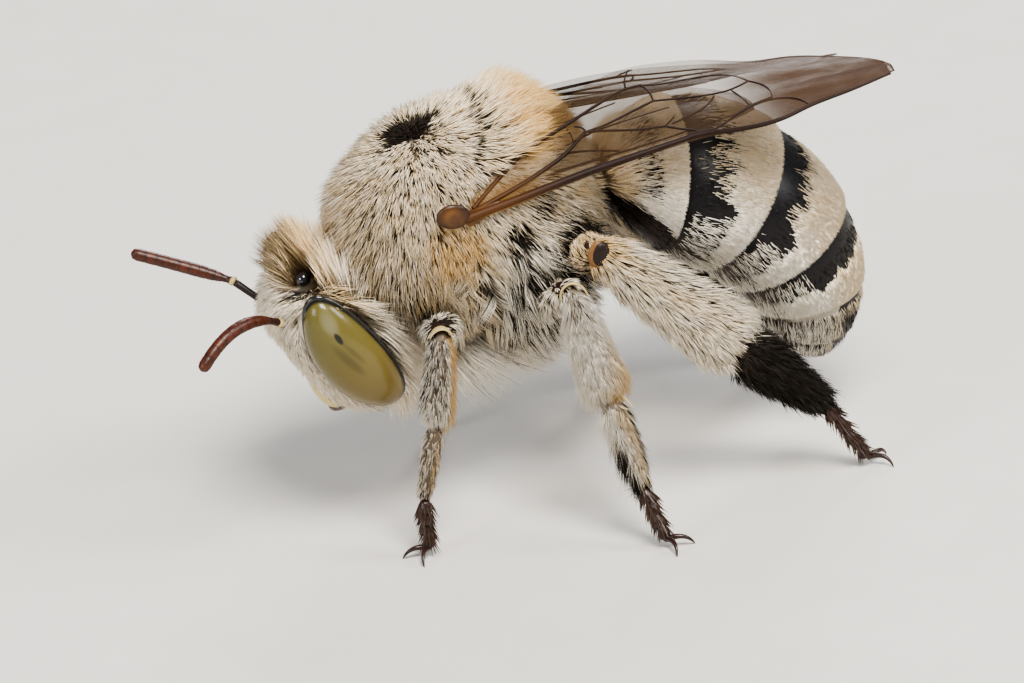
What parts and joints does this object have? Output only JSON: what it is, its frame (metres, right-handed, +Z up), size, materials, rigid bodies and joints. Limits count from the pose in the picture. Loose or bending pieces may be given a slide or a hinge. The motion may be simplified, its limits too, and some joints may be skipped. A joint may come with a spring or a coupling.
{
  "type": "digger bee",
  "caption": "Life-size still model of a furry banded digger bee standing with its head low and its smoky wings folded back along a striped abdomen.",
  "frame": {"origin": "on the floor, under the middle of the bee's box", "axes": "+X from the head to the tail, +Y to the bee's right side, +Z up"},
  "size_m": [0.0154, 0.0096, 0.0088],
  "materials": {
    "white_coat": "dense cream hair, with black and buff hairs mixed in",
    "dark_coat": "dense black hair",
    "brown_shell": "polished red-brown shell",
    "eye_lens": "glossy olive-cream",
    "black_bead": "glossy black",
    "wing_membrane": "thin smoky membrane"
  },
  "bodies": {
    "root": {"thorax": "white_coat", "head": "white_coat", "abdomen_1": "white_coat", "abdomen_2": "white_coat", "abdomen_3": "white_coat", "abdomen_4": "white_coat", "abdomen_5": "white_coat", "abdomen_6": "white_coat", "ocellus_left": "black_bead", "ocellus_right": "black_bead", "ocellus_middle": "black_bead", "eye_left": "eye_lens", "scape_left": "brown_shell", "flagellum_left": "brown_shell", "mandible_left": "brown_shell", "tegula_left": "brown_shell", "femur_front_left": "white_coat", "tibia_front_left": "white_coat", "basitarsus_front_left": "dark_coat", "foot_front_left": "dark_coat", "femur_middle_left": "white_coat", "tibia_middle_left": "white_coat", "basitarsus_middle_left": "dark_coat", "foot_middle_left": "dark_coat", "femur_hind_left": "white_coat", "tibia_hind_left": "white_coat", "basitarsus_hind_left": "dark_coat", "foot_hind_left": "dark_coat", "forewing_left": "wing_membrane", "hindwing_left": "wing_membrane", "eye_right": "eye_lens", "scape_right": "brown_shell", "flagellum_right": "brown_shell", "mandible_right": "brown_shell", "tegula_right": "brown_shell", "femur_front_right": "white_coat", "tibia_front_right": "white_coat", "basitarsus_front_right": "dark_coat", "foot_front_right": "dark_coat", "femur_middle_right": "white_coat", "tibia_middle_right": "white_coat", "basitarsus_middle_right": "dark_coat", "foot_middle_right": "dark_coat", "femur_hind_right": "white_coat", "tibia_hind_right": "white_coat", "basitarsus_hind_right": "dark_coat", "foot_hind_right": "dark_coat", "forewing_right": "wing_membrane", "hindwing_right": "wing_membrane"}
  },
  "joints": []
}
